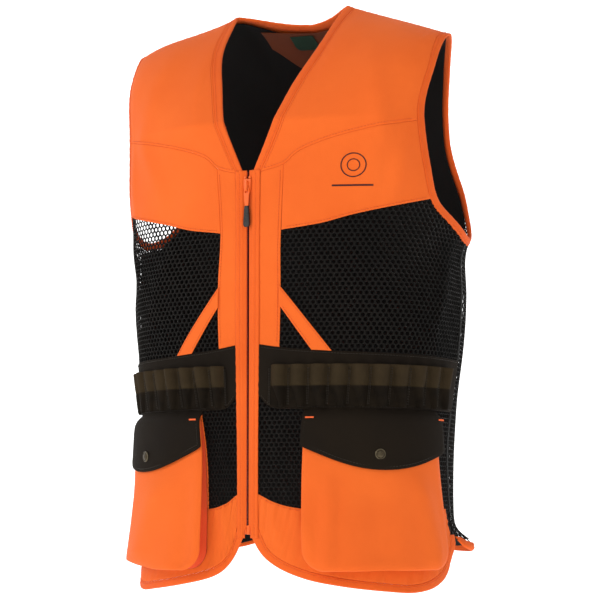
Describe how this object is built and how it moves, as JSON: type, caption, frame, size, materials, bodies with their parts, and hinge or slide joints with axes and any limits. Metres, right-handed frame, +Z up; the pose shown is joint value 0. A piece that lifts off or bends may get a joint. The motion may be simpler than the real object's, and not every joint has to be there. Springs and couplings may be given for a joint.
{
  "type": "hunting vest",
  "caption": "Sleeveless V-neck vest with full front zip, net panels, belt of elastic cartridge loops and flapped bellows pockets; worn over clothing to be seen in the field",
  "frame": {"origin": "midway between the two points where the neck opening meets the shoulder seams, at the height where those points lie", "axes": "+Z up the worn vest, -Y out of its front, +X towards the wearer's left"},
  "size_m": [0.4136, 0.3061, 0.6898],
  "materials": {
    "orange_cloth": "blaze orange woven cloth, matt",
    "orange_binding": "folded blaze orange binding tape",
    "gusset_cloth": "darker orange woven cloth, in shade",
    "black_net": "black knitted net with open cells",
    "olive_cloth": "dark olive brown woven cloth",
    "olive_elastic": "dark olive brown woven elastic",
    "dark_lining": "black lining cloth",
    "facing_cloth": "brownish orange facing cloth",
    "label_cloth": "dark green woven label, blank",
    "zip_coil": "dark red nylon coil",
    "zip_metal": "orange enamelled die-cast metal",
    "pull_rubber": "dark brown moulded rubber",
    "snap_brass": "aged brass"
  },
  "bodies": {
    "root": {"left_front_yoke": "orange_cloth", "right_front_yoke": "orange_cloth", "left_placket": "orange_cloth", "right_placket": "orange_cloth", "left_chest_panel": "orange_cloth", "right_chest_panel": "orange_cloth", "left_diagonal_tape": "orange_cloth", "right_diagonal_tape": "orange_cloth", "left_pocket_back": "orange_cloth", "right_pocket_back": "orange_cloth", "left_hem_panel": "orange_cloth", "right_hem_panel": "orange_cloth", "back_yoke": "orange_cloth", "game_pouch": "orange_cloth", "left_armhole_binding": "orange_binding", "right_armhole_binding": "orange_binding", "left_front_hem_binding": "orange_binding", "right_front_hem_binding": "orange_binding", "left_zip_tape": "orange_binding", "right_zip_tape": "orange_binding", "neck_binding": "orange_binding", "back_hem_binding": "orange_binding", "left_pocket_gusset": "gusset_cloth", "right_pocket_gusset": "gusset_cloth", "left_upper_net": "black_net", "right_upper_net": "black_net", "left_lower_net": "black_net", "right_lower_net": "black_net", "left_side_net": "black_net", "right_side_net": "black_net", "left_back_side_net": "black_net", "right_back_side_net": "black_net", "back_panel": "black_net", "left_belt": "olive_cloth", "right_belt": "olive_cloth", "pouch_binding": "olive_cloth", "left_cartridge_loops": "olive_elastic", "right_cartridge_loops": "olive_elastic", "back_lining": "dark_lining", "size_tab": "dark_lining", "neck_facing": "facing_cloth", "neck_label": "label_cloth", "left_zip_teeth": "zip_coil", "right_zip_teeth": "zip_coil", "left_zip_top_stop": "zip_metal", "right_zip_top_stop": "zip_metal", "zip_bottom_box": "zip_metal", "zip_insertion_pin": "zip_metal"},
    "zip_slider": {"zip_slider": "zip_metal"},
    "zip_pull": {"zip_pull_leaf": "zip_metal", "zip_pull_tab": "pull_rubber"},
    "left_flap": {"left_pocket_flap": "olive_cloth", "left_snap_cap": "snap_brass"},
    "left_pocket": {"left_pocket_front": "orange_cloth", "left_snap_stud": "snap_brass"},
    "right_flap": {"right_pocket_flap": "olive_cloth", "right_snap_cap": "snap_brass"},
    "right_pocket": {"right_pocket_front": "orange_cloth", "right_snap_stud": "snap_brass"}
  },
  "joints": [
    {"name": "zip_slide", "type": "slide", "parent": "root", "child": "zip_slider", "axis": [0, 0, -1], "range_m": [0, 0.375]},
    {"name": "pull_swing", "type": "hinge", "parent": "zip_slider", "child": "zip_pull", "pos_m": [0, -0.1442, -0.2264], "axis": [-1, 0, 0], "range_deg": [0, 130]},
    {"name": "left_flap_hinge", "type": "hinge", "parent": "root", "child": "left_flap", "pos_m": [0.1529, -0.1113, -0.4858], "axis": [-0.768, -0.6405, 0], "range_deg": [0, 110]},
    {"name": "left_pocket_bellows", "type": "hinge", "parent": "root", "child": "left_pocket", "pos_m": [0.1482, -0.1077, -0.4894], "axis": [-0.7723, -0.6353, 0], "range_deg": [-4.5, 0], "deforming": ["left_pocket_gusset"]},
    {"name": "right_flap_hinge", "type": "hinge", "parent": "root", "child": "right_flap", "pos_m": [-0.1529, -0.1113, -0.4858], "axis": [-0.768, 0.6405, 0], "range_deg": [0, 110]},
    {"name": "right_pocket_bellows", "type": "hinge", "parent": "root", "child": "right_pocket", "pos_m": [-0.1482, -0.1077, -0.4894], "axis": [-0.7723, 0.6353, 0], "range_deg": [-4.5, 0], "deforming": ["right_pocket_gusset"]}
  ]
}
